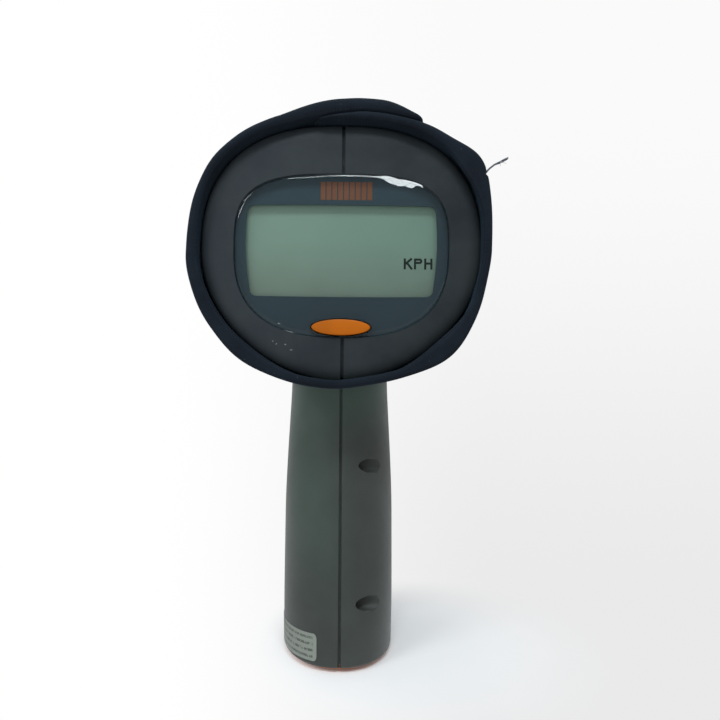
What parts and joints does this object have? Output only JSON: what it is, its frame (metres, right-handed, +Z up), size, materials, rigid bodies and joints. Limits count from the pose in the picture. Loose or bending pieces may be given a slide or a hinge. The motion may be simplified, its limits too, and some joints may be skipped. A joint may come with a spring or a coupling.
{
  "type": "speed radar gun",
  "caption": "Handheld sports speed radar gun: round head with rear display, raked grip with trigger, black front ring, and a padded sleeve closed by a flap on top.",
  "frame": {"origin": "centre of the flat underside of the battery door, under the grip", "axes": "+Z up along the height of the gun, +Y along the radar beam, away from the user, +X to the user's right"},
  "size_m": [0.1159, 0.1555, 0.2218],
  "materials": {
    "case_grey": "satin, finely textured",
    "black_plastic": "satin",
    "orange_plastic": "satin",
    "clear_plastic": "gloss",
    "mask_print": "gloss",
    "lcd_glass": "satin",
    "board": "satin",
    "steel": "bright",
    "cast_aluminium": "satin",
    "rubber": "matt",
    "cell_jacket": "printed film",
    "wrap_fabric": "knit over foam",
    "tape_fabric": "pile",
    "red_lead": "satin",
    "black_lead": "satin",
    "grey_lead": "satin",
    "label_film": "satin"
  },
  "bodies": {
    "case": {"case_left": "case_grey", "case_right": "case_grey", "case_screw_1": "steel", "case_screw_2": "steel", "case_screw_3": "steel", "case_screw_4": "steel", "case_screw_5": "steel", "case_screw_6": "steel", "front_ring": "black_plastic", "radome": "black_plastic", "radome_seal": "rubber", "horn_antenna": "cast_aluminium", "oscillator_block": "cast_aluminium", "receiver_board": "board", "horn_screw_1": "steel", "horn_screw_2": "steel", "horn_screw_3": "steel", "horn_screw_4": "steel", "display_window": "clear_plastic", "window_mask": "mask_print", "lcd_panel": "lcd_glass", "lcd_frame": "black_plastic", "contact_strip_upper": "rubber", "contact_strip_lower": "rubber", "main_board": "board", "board_screw_1": "steel", "board_screw_2": "steel", "board_screw_3": "steel", "board_screw_4": "steel", "button_switch": "black_plastic", "trigger_pin": "steel", "trigger_spring": "steel", "switch_board": "board", "trigger_switch": "black_plastic", "battery_tube": "black_plastic", "cell_lower": "cell_jacket", "cell_upper": "cell_jacket", "cell_contact_upper": "steel", "battery_leaf": "steel", "door_pin": "steel", "battery_lead_red": "red_lead", "battery_lead_black": "black_lead", "trigger_lead": "grey_lead", "receiver_ribbon": "grey_lead", "wrap_sleeve": "wrap_fabric", "loop_tape": "tape_fabric", "grip_label": "label_film"},
    "trigger": {"trigger": "black_plastic"},
    "switch_plunger": {"switch_plunger": "orange_plastic"},
    "mode_button": {"mode_button": "orange_plastic", "button_plunger": "black_plastic"},
    "battery_door": {"battery_door": "orange_plastic", "door_contact": "steel", "door_spring": "steel"},
    "wrap_flap": {"wrap_flap": "wrap_fabric", "hook_tape": "tape_fabric"}
  },
  "joints": [
    {"name": "trigger_pull", "type": "hinge", "parent": "case", "child": "trigger", "pos_m": [0, 0.0355, 0.114], "axis": [-1, 0, 0], "range_deg": [0, 4], "stiffness_Nm_per_rad": 0.5, "deforming": ["trigger_spring"]},
    {"name": "switch_press", "type": "slide", "parent": "case", "child": "switch_plunger", "axis": [0, -1, 0], "range_m": [0, 0.0015]},
    {"name": "button_press", "type": "slide", "parent": "case", "child": "mode_button", "axis": [0, 1, 0], "range_m": [0, 0.0008]},
    {"name": "door_hinge", "type": "hinge", "parent": "case", "child": "battery_door", "pos_m": [0, 0.022, 0.0023], "axis": [1, 0, 0], "range_deg": [0, 92]},
    {"name": "flap_fold", "type": "hinge", "parent": "case", "child": "wrap_flap", "pos_m": [-0.023, -0.0355, 0.2165], "axis": [0, -0.9984, 0.0562], "range_deg": [0, 70]}
  ],
  "couplings": [
    {"joint": "switch_press", "follows": "trigger_pull", "m_per_rad": 0.0213}
  ]
}
